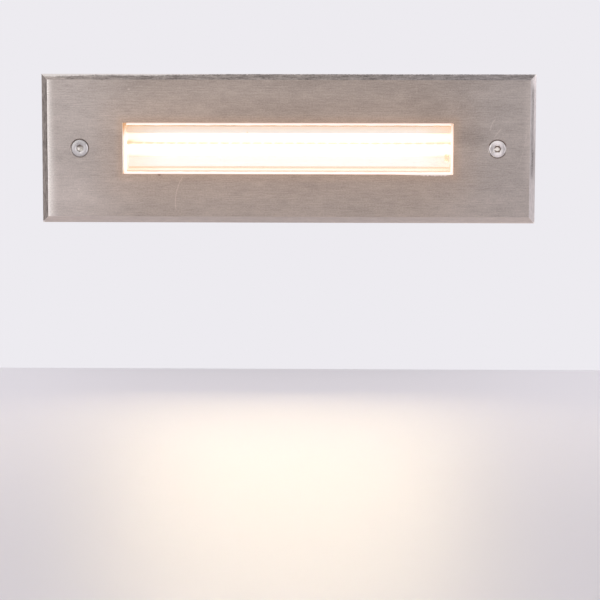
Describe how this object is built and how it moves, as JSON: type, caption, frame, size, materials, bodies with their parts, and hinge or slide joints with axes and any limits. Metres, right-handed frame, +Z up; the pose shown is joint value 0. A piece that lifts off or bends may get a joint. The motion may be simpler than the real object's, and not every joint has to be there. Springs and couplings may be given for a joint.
{
  "type": "recessed wall step light",
  "caption": "Recessed wall step light: bevelled brushed steel face plate, long glazed window with LED board and reflector, cast housing and plastic wall box.",
  "frame": {"origin": "centre of the face plate, on the wall's face, where the back of the wall gasket lies", "axes": "+X to the right seen from the front, +Y into the wall, +Z up"},
  "size_m": [0.23, 0.096, 0.069],
  "materials": {
    "brushed_stainless": "horizontally brushed, bevelled edge",
    "screw_stainless": "turned",
    "zinc_steel": "zinc plated",
    "epdm_black": "matt",
    "silicone": "translucent",
    "clear_glass": "clear, toughened",
    "cast_aluminium": "die cast, grey",
    "white_sheet": "white stove enamel",
    "white_cap": "white",
    "white_board": "white solder mask",
    "led_white": "white",
    "led_phosphor": "warm yellow",
    "solder": "bright",
    "pad_grey": "soft",
    "wire_red": "smooth",
    "wire_black": "smooth",
    "wire_brown": "smooth",
    "wire_blue": "smooth",
    "wire_earth": "green and yellow",
    "driver_plastic": "pale grey",
    "block_plastic": "natural",
    "nickel_brass": "machined",
    "gland_plastic": "dark grey",
    "box_plastic": "black, fine grain",
    "nylon": "natural"
  },
  "bodies": {
    "wall_box": {"wall_box": "box_plastic", "box_inserts": "nickel_brass", "entry_grommet": "epdm_black"},
    "lamp": {"face_plate": "brushed_stainless", "wall_gasket": "epdm_black", "plate_studs": "zinc_steel", "stud_washers": "zinc_steel", "stud_nuts": "zinc_steel", "glass_front_seal": "silicone", "glass_pane": "clear_glass", "glass_rear_gasket": "silicone", "lamp_housing": "cast_aluminium", "reflector": "white_sheet", "reflector_end_caps": "white_cap", "reflector_screws": "zinc_steel", "led_board": "white_board", "thermal_pad": "pad_grey", "led_packages": "led_white", "led_phosphors": "led_phosphor", "solder_joints": "solder", "led_lead_red": "wire_red", "led_lead_black": "wire_black", "driver_case": "driver_plastic", "driver_lid": "driver_plastic", "driver_screws": "zinc_steel", "terminal_block": "block_plastic", "terminal_screws": "nickel_brass", "terminal_fixings": "zinc_steel", "supply_lead_live": "wire_brown", "supply_lead_neutral": "wire_blue", "earth_lead": "wire_earth", "earth_lug": "nickel_brass", "earth_screw": "zinc_steel", "gland_body": "gland_plastic", "gland_washer": "epdm_black", "gland_locknut": "gland_plastic", "gland_seal": "epdm_black"},
    "left_retainer": {"left_retainer": "nylon"},
    "right_retainer": {"right_retainer": "nylon"},
    "left_screw": {"left_screw": "screw_stainless"},
    "right_screw": {"right_screw": "screw_stainless"},
    "gland_nut": {"gland_nut": "gland_plastic"}
  },
  "joints": [
    {"name": "lamp_withdraw", "type": "slide", "parent": "wall_box", "child": "lamp", "axis": [0, -1, 0], "range_m": [0, 0.09]},
    {"name": "left_screw_travel", "type": "slide", "parent": "lamp", "child": "left_retainer", "axis": [0, -1, 0], "range_m": [0, 0.0088]},
    {"name": "left_screw_turn", "type": "hinge", "parent": "left_retainer", "child": "left_screw", "pos_m": [-0.09725, 0, 0], "axis": [0, -1, 0], "range_deg": [0, 4525.7]},
    {"name": "right_screw_travel", "type": "slide", "parent": "lamp", "child": "right_retainer", "axis": [0, -1, 0], "range_m": [0, 0.0088]},
    {"name": "right_screw_turn", "type": "hinge", "parent": "right_retainer", "child": "right_screw", "pos_m": [0.09725, 0, 0], "axis": [0, -1, 0], "range_deg": [0, 4525.7]},
    {"name": "gland_nut_turn", "type": "hinge", "parent": "lamp", "child": "gland_nut", "pos_m": [-0.055, 0.068, 0], "axis": [0, 1, 0], "range_deg": [0, 360]}
  ],
  "couplings": [
    {"joint": "left_screw_turn", "follows": "left_screw_travel", "rad_per_m": 8976},
    {"joint": "right_screw_turn", "follows": "right_screw_travel", "rad_per_m": 8976}
  ]
}
